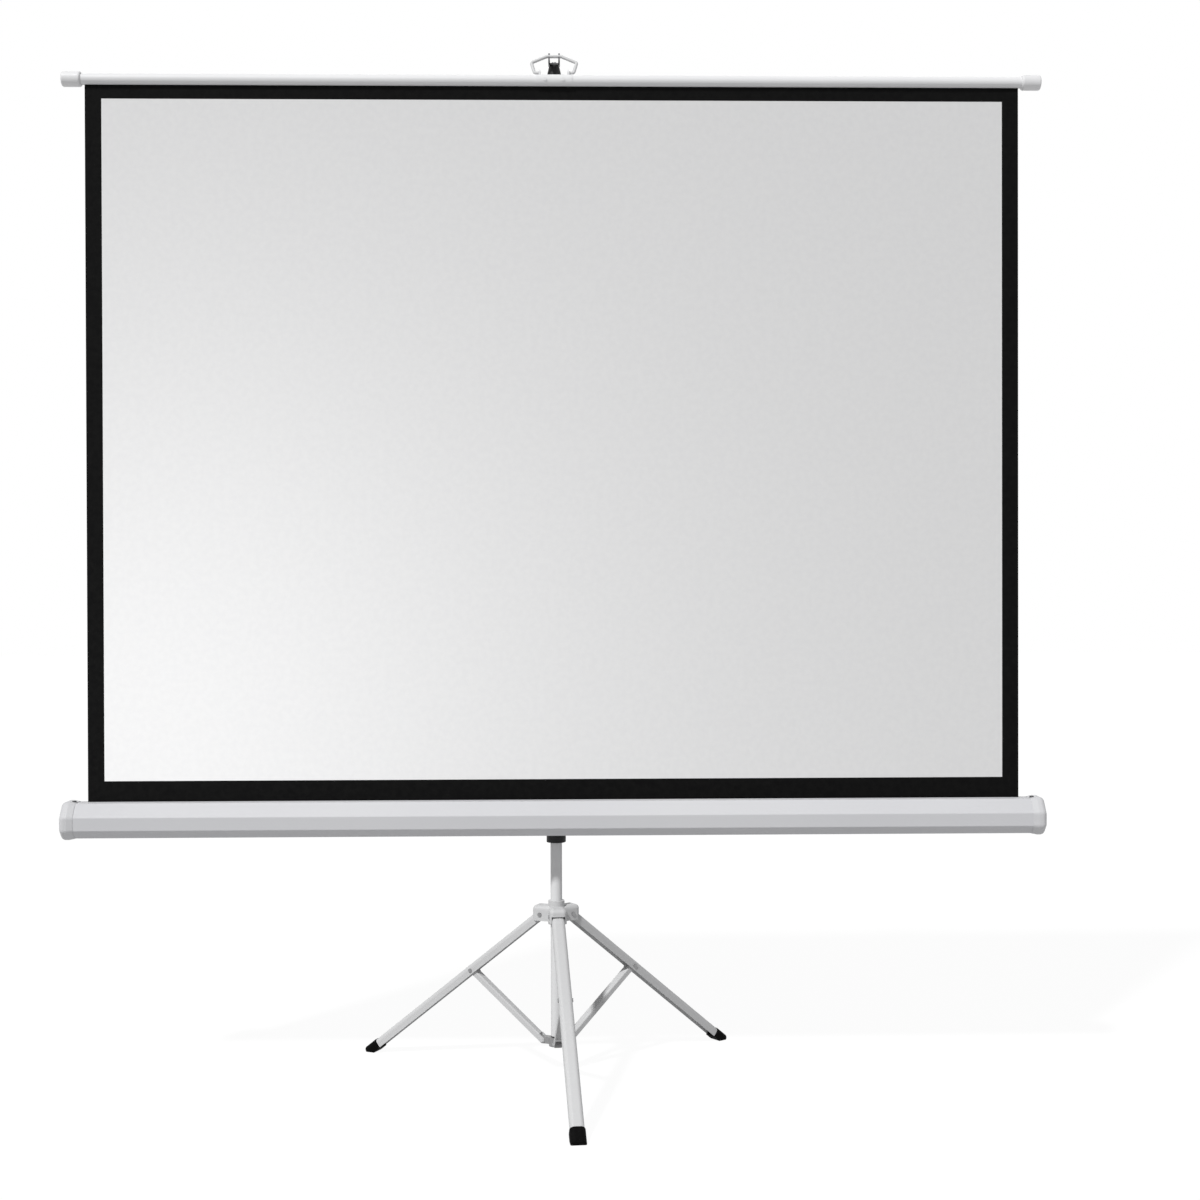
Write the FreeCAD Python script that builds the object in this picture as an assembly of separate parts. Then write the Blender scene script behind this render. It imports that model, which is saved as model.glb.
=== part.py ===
import FreeCAD, Part
import math
import os

# Tripod projection screen. Millimetres, +Z up, the screen faces -Y, and everything is laid out
# about the upright column on the Z axis before the whole stand is centred over its feet.

# Screen fabric
VIEW_HEIGHT = 1283.0
CLOTH_INSET = 42.0
TOP_BORDER = 26.0
BOTTOM_BORDER = 38.5
FABRIC_THICK = 0.5
FABRIC_FORWARD = 38.0

# Case
CASE_LENGTH = 1846.0
CASE_BOTTOM_Z = 467.0
CASE_HEIGHT = 64.5
CASE_DEPTH = 62.0
CASE_WALL = 1.0
CASE_BEND = 3.0
CASE_UPPER_FACET = 24.5
CASE_UPPER_SETBACK = 20.0
CASE_LOWER_BEVEL = 15.5
CASE_REAR_BEVEL = 7.0
CASE_BEHIND_FABRIC = 14.0
SLOT_WIDTH = 6.0
CAP_WIDTH = 26.0
CAP_GROW = 3.0
CAP_LAP = 10.0
CAP_ROUND = 11.0
CAP_DOME = 10.0
CAP_TAPER = 11.0
CAP_EDGE = 0.8
CAP_SCREW_SIZE = 3.0
CAP_SCREW_HEAD = 8.0
CAP_SCREW_HEAD_HEIGHT = 3.2
CAP_SCREW_LENGTH = 10.0

# Roller inside the case
ROLLER_SIZE = 36.0
ROLLER_WALL = 1.2
ROLLER_END_GAP = 18.0
WRAP_THICK = 1.2
PLUG_LENGTH = 20.0
IDLE_PIN_SIZE = 8.0
IDLE_PIN_IN_PLUG = 15.0
BEARING_DEPTH = 10.0
ARBOR_SIZE = 8.0
ARBOR_LENGTH = 500.0
ANCHOR_LENGTH = 24.0
SPRING_WIRE = 1.8
SPRING_END_GAP = 0.3

# Top bar and bail
BAR_PAST_CLOTH = 42.0
BAR_SIZE = 20.6
BAR_WALL = 1.4
BAR_SLOT = 2.0
BAR_CAP_LENGTH = 36.0
BAR_CAP_SIZE = 28.5
BAR_CAP_END = 4.0
BAR_CAP_ROUND = 3.5
SPLINE_SIZE = 8.0
SPLINE_SLIT = 0.9
SPLINE_END_GAP = 6.0
SADDLE_LENGTH = 68.0
SADDLE_WALL = 1.5
SADDLE_WRAP = 8.0
BAIL_WIRE = 6.0
BAIL_HEIGHT = 38.0
BAIL_SHOULDER_HEIGHT = 23.5
BAIL_FOOT_HALF = 37.0
BAIL_SHOULDER_HALF = 43.0
BAIL_TOP_HALF = 14.0
BAIL_PIN_INSET = 12.0
BAIL_BEND = 4.0
BAIL_LEAN = 22.0
EYE_THICK = 4.0
EYE_MARGIN = 2.6
SADDLE_RIVET_SIZE = 3.0
SADDLE_RIVET_HEAD = 6.0
SADDLE_RIVET_HEAD_HEIGHT = 1.4
SADDLE_RIVET_HALF_SPAN = 17.0

# Pole, mast and column
POLE_SIZE = 16.0
POLE_WALL = 1.2
POLE_LENGTH = 953.0
POLE_PLUG_RISE = 40.5
POLE_PLUG_HEIGHT = 32.0
POLE_PLUG_SOCKET = 12.0
POLE_PLUG_BASE = 33.0
POLE_PLUG_TOP = 19.0
POLE_PLUG_ROUND = 5.0
GUIDE_FLANGE = 3.0
GUIDE_SPIGOT = 20.0
POLE_GUIDE_BORE = 10.0
MAST_SIZE = 19.0
MAST_WALL = 1.2
MAST_LENGTH = 1000.0
MAST_BOTTOM_Z = 150.0
COLUMN_SIZE = 22.0
COLUMN_WALL = 1.2
COLUMN_TOP_Z = 461.0
TOP_BUSH_SIZE = 37.0
TOP_BUSH_BELOW = 16.0
TOP_BUSH_ABOVE = 14.0
END_BUSH_LENGTH = 22.0
END_BUSH_FLANGE = 2.0

# Hook
HOOK_WIDTH = 22.0
HOOK_SHEET = 3.0
HOOK_BASE_HALF = 8.0
HOOK_GUARD_RISE = 11.0
HOOK_TIP_REACH = 5.5
HOOK_TIP_DEPTH = 7.0
HOOK_SCREW_SIZE = 5.0
HOOK_SCREW_HEAD = 9.0
HOOK_SCREW_HEAD_HEIGHT = 3.0
HOOK_SCREW_LENGTH = 9.0

# Lock housing and release ring at the mast's top
HOUSING_SIZE = 34.0
HOUSING_BELOW = 22.0
HOUSING_NECK = 12.0
HOUSING_CUP = 14.0
HOUSING_CUP_SIZE = 28.0
RING_SIZE = 31.0
RING_FLANGE = 8.0
RING_GAP = 5.0
RING_SKIRT = 4.0
RELEASE_SPRING_WIRE = 2.4

# Column clamp knob
KNOB_SIZE = 25.0
KNOB_THICK = 13.0
KNOB_STANDOFF = 2.5
KNOB_LOBES = 6
KNOB_SCALLOP = 7.0
KNOB_SCALLOP_OUT = 2.1
KNOB_STEM = 6.0

# Mast clamp and case swivel
CLAMP_WIDTH = 40.0
CLAMP_HEIGHT = 36.0
CLAMP_REAR_WALL = 5.0
CLAMP_ROUND = 4.0
CLAMP_EAR_LENGTH = 11.0
CLAMP_EAR_WIDTH = 18.0
CLAMP_SLIT = 2.4
CLAMP_SCREW_SIZE = 4.0
CLAMP_SCREW_HEAD = 7.0
CLAMP_SCREW_HEAD_HEIGHT = 3.0
CLAMP_SCREW_SPACING = 20.0
PLATE_WIDTH = 130.0
PLATE_HEIGHT = 46.0
PLATE_THICK = 2.5
PLATE_CORNER = 6.0
PLATE_SCREW_SIZE = 4.0
PLATE_SCREW_HEAD = 8.0
PLATE_SCREW_HEAD_HEIGHT = 2.0
PLATE_SCREW_REACH = 4.0
PLATE_SCREW_INSET_X = 15.0
PLATE_SCREW_INSET_Z = 11.0
SWIVEL_BOLT_SIZE = 8.0
SWIVEL_BOLT_HEAD = 15.0
SWIVEL_BOLT_HEAD_HEIGHT = 3.5
SWIVEL_BOLT_END_GAP = 1.0
SWIVEL_WASHER_SIZE = 30.0
SWIVEL_WASHER_THICK = 1.5

# Folding legs
HUB_PIVOT_Z = 306.0
PIVOT_RADIUS = 28.0
LEG_ANGLE = 51.5
STANCE_TURN = 5.3
LINK_LENGTH = 195.0
LEG_WIDTH = 25.0
LEG_ABOVE_AXIS = 9.5
LEG_BELOW_AXIS = 7.5
LEG_WALL = 1.5
LEG_ROUND = 7.5
LEG_HEAD = 8.0
LEG_FLOOR_GAP = 17.0
HUB_WALL = 4.5
HUB_ABOVE = 27.0
HUB_BELOW = 18.0
FORK_SHEET = 3.5
FORK_REACH = 17.0
FORK_ABOVE = 17.0
FORK_BELOW = 12.0
FORK_ROUND = 8.0
FORK_APRON = 14.0
HUB_SCREW_SIZE = 5.0
HUB_SCREW_DROP = 10.0
HUB_SCREW_PROUD = 1.0
LEG_PIN_SIZE = 6.0
LEG_PIN_HEAD = 8.0
PIN_HEAD_HEIGHT = 1.6
BRACE_WIDTH = 17.0
BRACE_DEPTH = 11.0
BRACE_SHEET = 1.5
BRACE_BEND = 3.0
BRACE_WEB_SETBACK = 12.0
BRACE_RIVET_SIZE = 5.0
BRACE_RIVET_HEAD = 7.5
SPACER_SIZE = 7.0
COLLAR_SIZE = 30.0
COLLAR_ABOVE = 7.5
COLLAR_BELOW = 9.5
COLLAR_EAR_ROUND = 6.5
COLLAR_PIN_SIZE = 4.0
COLLAR_PIN_HEAD = 7.0
COLLAR_PIN_HEAD_HEIGHT = 1.2
ROD_SIZE = 10.0
ROD_LENGTH = 205.0
ROD_PASS_GAP = 1.0
ROD_SCREW_SIZE = 6.0
ROD_SCREW_HEAD = 11.0
ROD_SCREW_HEAD_HEIGHT = 3.0
ROD_SCREW_LENGTH = 14.0
FOOT_WALL = 1.6
FOOT_LENGTH = 33.0
FOOT_TOE = 4.0
FOOT_ROUND = 3.0

# Clearances, all on the radius or per side
FIT_GAP = 0.05
RUN_GAP = 0.08
SLIDE_GAP = 0.15
SIDE_GAP = 0.3
REST_GAP = 0.3

# Moulded edges, screw heads, and how far joined or cut shapes run past each other
EDGE_ROUND = 1.5
HEAD_ROUND = 0.8
PAST = 1.0
PARALLEL = 0.999
TINY = 1e-6

V = FreeCAD.Vector
AXIS_X = V(1, 0, 0)
AXIS_Y = V(0, 1, 0)
AXIS_Z = V(0, 0, 1)
ORIGIN = V(0, 0, 0)
nodes = {}


def tube_z(outer, inner, low, high):
    body = Part.makeCylinder(outer, high - low, V(0, 0, low))
    return body.cut(Part.makeCylinder(inner, high - low, V(0, 0, low)))


def rod_x(radius, start, end, y, z):
    return Part.makeCylinder(radius, end - start, V(start, y, z), AXIS_X)


def tube_x(outer, inner, start, end, y, z):
    return rod_x(outer, start, end, y, z).cut(rod_x(inner, start, end, y, z))


def rod_y(radius, start, end, x, z):
    return Part.makeCylinder(radius, end - start, V(x, start, z), AXIS_Y)


def block(x0, x1, y0, y1, z0, z1):
    return Part.makeBox(x1 - x0, y1 - y0, z1 - z0, V(x0, y0, z0))


def edges_along(shape, axis):
    picked = []
    for edge in shape.Edges:
        if len(edge.Vertexes) == 2:
            run = edge.Vertexes[1].Point - edge.Vertexes[0].Point
            if abs(run.dot(axis)) > PARALLEL * run.Length:
                picked.append(edge)
    return picked


def round_path(points, radius):
    # straight runs joined by tangent arcs of one radius
    edges = []
    start = points[0]
    for before, corner, after in zip(points, points[1:], points[2:]):
        back = (before - corner).normalize()
        ahead = (after - corner).normalize()
        half_turn = math.acos(max(-1.0, min(1.0, back.dot(ahead)))) / 2
        reach = radius / math.tan(half_turn)
        arc_in = corner + back * reach
        arc_out = corner + ahead * reach
        middle = (back + ahead).normalize()
        centre = corner + middle * (radius / math.sin(half_turn))
        edges.append(Part.LineSegment(start, arc_in).toShape())
        edges.append(Part.Arc(arc_in, centre - middle * radius, arc_out).toShape())
        start = arc_out
    edges.append(Part.LineSegment(start, points[-1]).toShape())
    return Part.Wire(edges)


def grown(outline, amount):
    # moves every side of a convex outline outwards by the same amount
    moved = []
    count = len(outline)
    for index in range(count):
        before = outline[index - 1]
        here = outline[index]
        after = outline[(index + 1) % count]
        normals = []
        for a, b in ((before, here), (here, after)):
            length = math.hypot(b[0] - a[0], b[1] - a[1])
            normals.append(((b[1] - a[1]) / length, -(b[0] - a[0]) / length))
        (ax, ay), (bx, by) = normals
        scale = amount / (1 + ax * bx + ay * by)
        moved.append((here[0] + (ax + bx) * scale, here[1] + (ay + by) * scale))
    return moved


def prism_x(outline, start, end):
    points = [V(start, y, z) for y, z in outline]
    face = Part.Face(Part.makePolygon(points + points[:1]))
    return face.extrude(V(end - start, 0, 0))


def around(shape, azimuth):
    turned = shape.copy()
    turned.rotate(ORIGIN, AXIS_Z, azimuth)
    return turned


# Places shared by several pieces
fabric_width = CASE_LENGTH - 2 * CLOTH_INSET
fabric_y = -FABRIC_FORWARD
case_back_y = fabric_y + CASE_BEHIND_FABRIC
case_front_y = case_back_y - CASE_DEPTH
case_top_z = CASE_BOTTOM_Z + CASE_HEIGHT
case_mid_z = CASE_BOTTOM_Z + CASE_HEIGHT / 2
bar_r = BAR_SIZE / 2
bar_z = case_top_z + BOTTOM_BORDER + VIEW_HEIGHT + TOP_BORDER + bar_r
roller_r = ROLLER_SIZE / 2
wrap_r = roller_r + FIT_GAP + WRAP_THICK
roller_y = fabric_y - FABRIC_THICK / 2 - SIDE_GAP - wrap_r
roller_z = case_mid_z
pole_r = POLE_SIZE / 2
mast_r = MAST_SIZE / 2
mast_bore = mast_r - MAST_WALL
mast_top_z = MAST_BOTTOM_Z + MAST_LENGTH
column_r = COLUMN_SIZE / 2
column_bore = column_r - COLUMN_WALL
hub_r = column_r + FIT_GAP + HUB_WALL
leg_tilt = math.radians(LEG_ANGLE)
collar_pivot_z = HUB_PIVOT_Z - 2 * LINK_LENGTH * math.cos(leg_tilt)
collar_top_z = collar_pivot_z + COLLAR_ABOVE
collar_bottom_z = collar_pivot_z - COLLAR_BELOW
column_bottom_z = collar_top_z + REST_GAP + END_BUSH_FLANGE
leg_axis_length = HUB_PIVOT_Z / math.cos(leg_tilt)
leg_end = leg_axis_length - LEG_FLOOR_GAP
LEG_AZIMUTHS = {
    "front": -90 + STANCE_TURN,
    "rear_right": 30 + STANCE_TURN,
    "rear_left": 150 + STANCE_TURN,
}


# Column
def make_column():
    nodes["column_tube"] = tube_z(column_r, column_bore, column_bottom_z, COLUMN_TOP_Z)
    bush = tube_z(column_bore - FIT_GAP, ROD_SIZE / 2 + RUN_GAP, column_bottom_z,
                  column_bottom_z + END_BUSH_LENGTH)
    flange = tube_z(column_r, ROD_SIZE / 2 + RUN_GAP, column_bottom_z - END_BUSH_FLANGE, column_bottom_z)
    nodes["column_end_bush"] = bush.fuse(flange).removeSplitter()

    bush_low = COLUMN_TOP_Z - TOP_BUSH_BELOW
    bush_high = COLUMN_TOP_Z + TOP_BUSH_ABOVE
    bush = Part.makeCylinder(TOP_BUSH_SIZE / 2, bush_high - bush_low, V(0, 0, bush_low))
    bush = bush.makeFillet(EDGE_ROUND, bush.Edges)
    bush = bush.cut(Part.makeCylinder(column_r + FIT_GAP, TOP_BUSH_BELOW, V(0, 0, bush_low)))
    bush = bush.cut(Part.makeCylinder(mast_r + SLIDE_GAP, TOP_BUSH_ABOVE, V(0, 0, COLUMN_TOP_Z)))
    knob_z = COLUMN_TOP_Z + TOP_BUSH_ABOVE / 2
    stem_hole = rod_y(KNOB_STEM / 2 + RUN_GAP, 0, TOP_BUSH_SIZE, 0, knob_z)
    nodes["column_top_bush"] = bush.cut(stem_hole)

    knob_back = TOP_BUSH_SIZE / 2 + KNOB_STANDOFF
    head = rod_y(KNOB_SIZE / 2, knob_back, knob_back + KNOB_THICK, 0, knob_z)
    head = head.makeFillet(EDGE_ROUND, head.Edges)
    for lobe in range(KNOB_LOBES):
        angle = 2 * math.pi * lobe / KNOB_LOBES
        reach = KNOB_SIZE / 2 + KNOB_SCALLOP_OUT
        cutter = rod_y(KNOB_SCALLOP / 2, knob_back - PAST, knob_back + KNOB_THICK + PAST,
                       reach * math.cos(angle), knob_z + reach * math.sin(angle))
        head = head.cut(cutter)
    stem = rod_y(KNOB_STEM / 2, mast_r + SIDE_GAP, knob_back + PAST, 0, knob_z)
    nodes["column_knob"] = head.fuse(stem).removeSplitter()


# Leg linkage
def leg_section(half_width, low, high, corner):
    # arched channel outline in the plane across the leg, open at the bottom
    side_top = high - corner
    flat = half_width - corner
    turn = corner * math.sqrt(0.5)
    return [
        Part.LineSegment(V(0, -half_width, low), V(0, -half_width, side_top)).toShape(),
        Part.Arc(V(0, -half_width, side_top), V(0, -flat - turn, side_top + turn),
                 V(0, -flat, high)).toShape(),
        Part.LineSegment(V(0, -flat, high), V(0, flat, high)).toShape(),
        Part.Arc(V(0, flat, high), V(0, flat + turn, side_top + turn),
                 V(0, half_width, side_top)).toShape(),
        Part.LineSegment(V(0, half_width, side_top), V(0, half_width, low)).toShape(),
        Part.LineSegment(V(0, half_width, low), V(0, -half_width, low)).toShape(),
    ]


def arch_prism(grow, start, end, floor_grow):
    edges = leg_section(LEG_WIDTH / 2 + grow, -LEG_BELOW_AXIS - floor_grow, LEG_ABOVE_AXIS + grow,
                        LEG_ROUND + grow)
    face = Part.Face(Part.Wire(edges))
    solid = face.extrude(V(end - start, 0, 0))
    solid.translate(V(start, 0, 0))
    return solid


def channel(grow_out, grow_in, start, end):
    outside = arch_prism(grow_out, start, end, grow_out)
    inside = arch_prism(-LEG_WALL - grow_in, start - PAST, end + PAST, PAST + grow_out)
    return outside.cut(inside)


def along_leg(shape, azimuth):
    # from the leg's own axis, X out along the leg, to its place on the hub
    placed = shape.copy()
    placed.rotate(ORIGIN, AXIS_Y, 90 - LEG_ANGLE)
    placed.translate(V(PIVOT_RADIUS, 0, HUB_PIVOT_Z))
    return around(placed, azimuth)


def along_brace(shape, azimuth):
    placed = shape.copy()
    placed.rotate(ORIGIN, AXIS_Y, LEG_ANGLE - 90)
    placed.translate(V(PIVOT_RADIUS, 0, collar_pivot_z))
    return around(placed, azimuth)


def cross_pin(radius, half_length, head_radius, head_height, x):
    # a pin across the leg with a head at each end
    pin = rod_y(radius, -half_length, half_length, x, 0)
    for side in (-1, 1):
        start = half_length if side > 0 else -half_length - head_height
        pin = pin.fuse(rod_y(head_radius, start, start + head_height, x, 0))
    return pin.removeSplitter()


def make_leg():
    leg = channel(0, 0, -LEG_HEAD, leg_end)
    for x, size, gap in ((0, LEG_PIN_SIZE, RUN_GAP), (LINK_LENGTH, BRACE_RIVET_SIZE, FIT_GAP)):
        leg = leg.cut(rod_y(size / 2 + gap, -LEG_WIDTH, LEG_WIDTH, x, 0))
    return leg


def make_foot():
    heel = leg_axis_length + FOOT_TOE - FOOT_LENGTH
    boot = arch_prism(FOOT_WALL, heel, leg_axis_length + FOOT_TOE, FOOT_WALL)
    boot = boot.makeFillet(FOOT_ROUND, edges_along(boot, AXIS_Y))
    return boot.cut(channel(FIT_GAP, FIT_GAP, heel - PAST, leg_end + REST_GAP))


def make_brace():
    # folded channel, web up, whose web stops short of the two rounded ends
    half = BRACE_WIDTH / 2
    end_r = BRACE_DEPTH / 2
    brace = block(0, LINK_LENGTH, -half, half, -end_r, end_r)
    upper = [e for e in edges_along(brace, AXIS_X) if e.Vertexes[0].Z > 0]
    brace = brace.makeFillet(BRACE_BEND, upper)
    hollow = block(-PAST, LINK_LENGTH + PAST, -half + BRACE_SHEET, half - BRACE_SHEET,
                   -end_r - PAST, end_r - BRACE_SHEET)
    upper = [e for e in edges_along(hollow, AXIS_X) if e.Vertexes[0].Z > 0]
    brace = brace.cut(hollow.makeFillet(BRACE_BEND - BRACE_SHEET, upper))
    for x, start in ((0, -PAST), (LINK_LENGTH, LINK_LENGTH - BRACE_WEB_SETBACK)):
        end = start + BRACE_WEB_SETBACK + PAST
        brace = brace.cut(block(start, end, -half, half, -end_r - PAST, end_r + PAST))
        near = x if x == 0 else start
        for side in (-1, 1):
            outer = side * half
            inner = outer - side * BRACE_SHEET
            low, high = min(outer, inner), max(outer, inner)
            flange = block(near, near + BRACE_WEB_SETBACK, low, high, -end_r, end_r)
            flange = flange.fuse(rod_y(end_r, low, high, x, 0))
            brace = brace.fuse(flange)
    brace = brace.removeSplitter()
    for x, size in ((0, COLLAR_PIN_SIZE), (LINK_LENGTH, BRACE_RIVET_SIZE)):
        brace = brace.cut(rod_y(size / 2 + RUN_GAP, -BRACE_WIDTH, BRACE_WIDTH, x, 0))
    return brace


def make_brace_rivet():
    inner_half = LEG_WIDTH / 2 - LEG_WALL
    rivet = cross_pin(BRACE_RIVET_SIZE / 2, LEG_WIDTH / 2, BRACE_RIVET_HEAD / 2, PIN_HEAD_HEIGHT,
                      LINK_LENGTH)
    near = BRACE_WIDTH / 2 + SIDE_GAP
    far = inner_half - REST_GAP
    solids = [rivet]
    for start, end in ((near, far), (-far, -near)):
        spacer = rod_y(SPACER_SIZE / 2, start, end, LINK_LENGTH, 0)
        bore = rod_y(BRACE_RIVET_SIZE / 2 + FIT_GAP, start, end, LINK_LENGTH, 0)
        solids.append(spacer.cut(bore))
    return Part.makeCompound(solids)


def make_legs():
    reach = 2 * leg_axis_length
    floor = block(-reach, reach, -reach, reach, -FOOT_LENGTH, 0)
    for name, azimuth in LEG_AZIMUTHS.items():
        nodes["leg_" + name] = along_leg(make_leg(), azimuth)
        nodes["foot_" + name] = along_leg(make_foot(), azimuth).cut(floor)
        nodes["brace_" + name] = along_brace(make_brace(), azimuth)
        nodes["brace_rivet_" + name] = along_leg(make_brace_rivet(), azimuth)


def make_hub():
    low = HUB_PIVOT_Z - HUB_BELOW
    high = HUB_PIVOT_Z + HUB_ABOVE
    hub = Part.makeCylinder(hub_r, high - low, V(0, 0, low))
    near = LEG_WIDTH / 2 + SIDE_GAP
    far = near + FORK_SHEET
    # each fork has a roof and a short apron over the leg's head
    fork_end = PIVOT_RADIUS + FORK_REACH
    fork_low = HUB_PIVOT_Z - FORK_BELOW
    fork_high = HUB_PIVOT_Z + FORK_ABOVE
    fork = block(column_r / 2, fork_end, -far, far, fork_low, fork_high)
    outer = [e for e in edges_along(fork, AXIS_Z) if e.Vertexes[0].X > PIVOT_RADIUS]
    outer += [e for e in edges_along(fork, AXIS_Y) if e.CenterOfMass.x > PIVOT_RADIUS]
    outer += [e for e in edges_along(fork, AXIS_X) if e.CenterOfMass.z > HUB_PIVOT_Z]
    fork = fork.makeFillet(FORK_ROUND, outer)
    fork = fork.cut(block(0, fork_end - FORK_SHEET, -near, near, fork_low - PAST, fork_high - FORK_SHEET))
    fork = fork.cut(block(0, fork_end + PAST, -near, near, fork_low - PAST, fork_high - FORK_APRON))
    bore = rod_y(LEG_PIN_SIZE / 2 + FIT_GAP, -2 * far, 2 * far, PIVOT_RADIUS, HUB_PIVOT_Z)
    pin = cross_pin(LEG_PIN_SIZE / 2, far, LEG_PIN_HEAD / 2, PIN_HEAD_HEIGHT, 0)
    pin.translate(V(PIVOT_RADIUS, 0, HUB_PIVOT_Z))
    for azimuth in LEG_AZIMUTHS.values():
        hub = hub.fuse(around(fork, azimuth))
    hub = hub.removeSplitter()
    for azimuth in LEG_AZIMUTHS.values():
        hub = hub.cut(around(bore, azimuth))
    hub = hub.cut(Part.makeCylinder(column_r + FIT_GAP, high - low, V(0, 0, low)))
    screw_z = high - HUB_SCREW_DROP
    screw_end = hub_r + HUB_SCREW_PROUD
    screw = rod_y(HUB_SCREW_SIZE / 2, column_r + FIT_GAP, screw_end, 0, screw_z)
    nodes["leg_hub"] = hub.cut(rod_y(HUB_SCREW_SIZE / 2 + FIT_GAP, 0, screw_end, 0, screw_z))
    nodes["hub_screw"] = screw
    nodes["leg_pivot_pins"] = Part.makeCompound([around(pin, a) for a in LEG_AZIMUTHS.values()])


def make_collar():
    collar = Part.makeCylinder(COLLAR_SIZE / 2, collar_top_z - collar_bottom_z, V(0, 0, collar_bottom_z))
    ear_half = BRACE_WIDTH / 2 - BRACE_SHEET - SIDE_GAP
    low = collar_pivot_z - COLLAR_EAR_ROUND
    high = collar_pivot_z + COLLAR_EAR_ROUND
    ear = block(0, PIVOT_RADIUS, -ear_half, ear_half, low, high)
    ear = ear.fuse(rod_y(COLLAR_EAR_ROUND, -ear_half, ear_half, PIVOT_RADIUS, collar_pivot_z))
    bore = rod_y(COLLAR_PIN_SIZE / 2 + FIT_GAP, -LEG_WIDTH, LEG_WIDTH, PIVOT_RADIUS, collar_pivot_z)
    pin_half = BRACE_WIDTH / 2 + SIDE_GAP
    pin = cross_pin(COLLAR_PIN_SIZE / 2, pin_half, COLLAR_PIN_HEAD / 2, COLLAR_PIN_HEAD_HEIGHT, 0)
    pin.translate(V(PIVOT_RADIUS, 0, collar_pivot_z))
    for azimuth in LEG_AZIMUTHS.values():
        collar = collar.fuse(around(ear, azimuth))
    collar = collar.removeSplitter()
    for azimuth in LEG_AZIMUTHS.values():
        collar = collar.cut(around(bore, azimuth))
    rod_bore = Part.makeCylinder(ROD_SIZE / 2 + FIT_GAP, collar_top_z - collar_bottom_z,
                                 V(0, 0, collar_bottom_z))
    nodes["spread_collar"] = collar.cut(rod_bore)
    nodes["collar_pins"] = Part.makeCompound([around(pin, a) for a in LEG_AZIMUTHS.values()])

    rod = Part.makeCylinder(ROD_SIZE / 2, ROD_LENGTH, V(0, 0, collar_bottom_z))
    thread = Part.makeCylinder(ROD_SCREW_SIZE / 2 + FIT_GAP, ROD_SCREW_LENGTH, V(0, 0, collar_bottom_z))
    nodes["spreader_rod"] = rod.cut(thread)
    head = Part.makeCylinder(ROD_SCREW_HEAD / 2, ROD_SCREW_HEAD_HEIGHT,
                             V(0, 0, collar_bottom_z - ROD_SCREW_HEAD_HEIGHT))
    shank = Part.makeCylinder(ROD_SCREW_SIZE / 2, ROD_SCREW_LENGTH - REST_GAP, V(0, 0, collar_bottom_z))
    nodes["rod_screw"] = head.fuse(shank).removeSplitter()


# Mast and pole
def end_guide(flange_r, spigot_r, bore_r, top):
    # plug for a tube's lower end: a flange that runs in the next tube, and a spigot inside this one
    flange = Part.makeCylinder(flange_r, GUIDE_FLANGE, V(0, 0, top - GUIDE_FLANGE))
    spigot = Part.makeCylinder(spigot_r, GUIDE_SPIGOT, V(0, 0, top))
    bore = Part.makeCylinder(bore_r, GUIDE_FLANGE + GUIDE_SPIGOT, V(0, 0, top - GUIDE_FLANGE))
    return flange.fuse(spigot).removeSplitter().cut(bore)


def make_mast():
    nodes["mast_tube"] = tube_z(mast_r, mast_bore, MAST_BOTTOM_Z, mast_top_z)
    nodes["mast_guide"] = end_guide(column_bore - SLIDE_GAP, mast_bore - FIT_GAP, ROD_SIZE / 2 + ROD_PASS_GAP,
                                    MAST_BOTTOM_Z)

    neck_top = mast_top_z + HOUSING_NECK
    cup_top = neck_top + HOUSING_CUP
    low = mast_top_z - HOUSING_BELOW
    housing = Part.makeCylinder(HOUSING_SIZE / 2, cup_top - low, V(0, 0, low))
    housing = housing.makeFillet(EDGE_ROUND, housing.Edges)
    housing = housing.cut(Part.makeCylinder(mast_r + FIT_GAP, HOUSING_BELOW, V(0, 0, low)))
    housing = housing.cut(Part.makeCylinder(pole_r + SLIDE_GAP, HOUSING_NECK, V(0, 0, mast_top_z)))
    cup = Part.makeCylinder(HOUSING_CUP_SIZE / 2, HOUSING_CUP, V(0, 0, neck_top))
    nodes["lock_housing"] = housing.cut(cup)

    ring_low = cup_top + RING_GAP
    ring = Part.makeCylinder(RING_SIZE / 2, RING_FLANGE, V(0, 0, ring_low))
    ring = ring.makeFillet(EDGE_ROUND, ring.Edges)
    skirt_low = cup_top - RING_SKIRT
    skirt_height = ring_low - skirt_low + PAST
    ring = ring.fuse(Part.makeCylinder(HOUSING_CUP_SIZE / 2 - SIDE_GAP, skirt_height, V(0, 0, skirt_low)))
    ring_bore = Part.makeCylinder(pole_r + SIDE_GAP, ring_low + RING_FLANGE - skirt_low, V(0, 0, skirt_low))
    nodes["release_ring"] = ring.removeSplitter().cut(ring_bore)
    spring_inner = pole_r + SIDE_GAP * 2
    nodes["release_spring"] = tube_z(spring_inner + RELEASE_SPRING_WIRE, spring_inner, neck_top, skirt_low)


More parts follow.
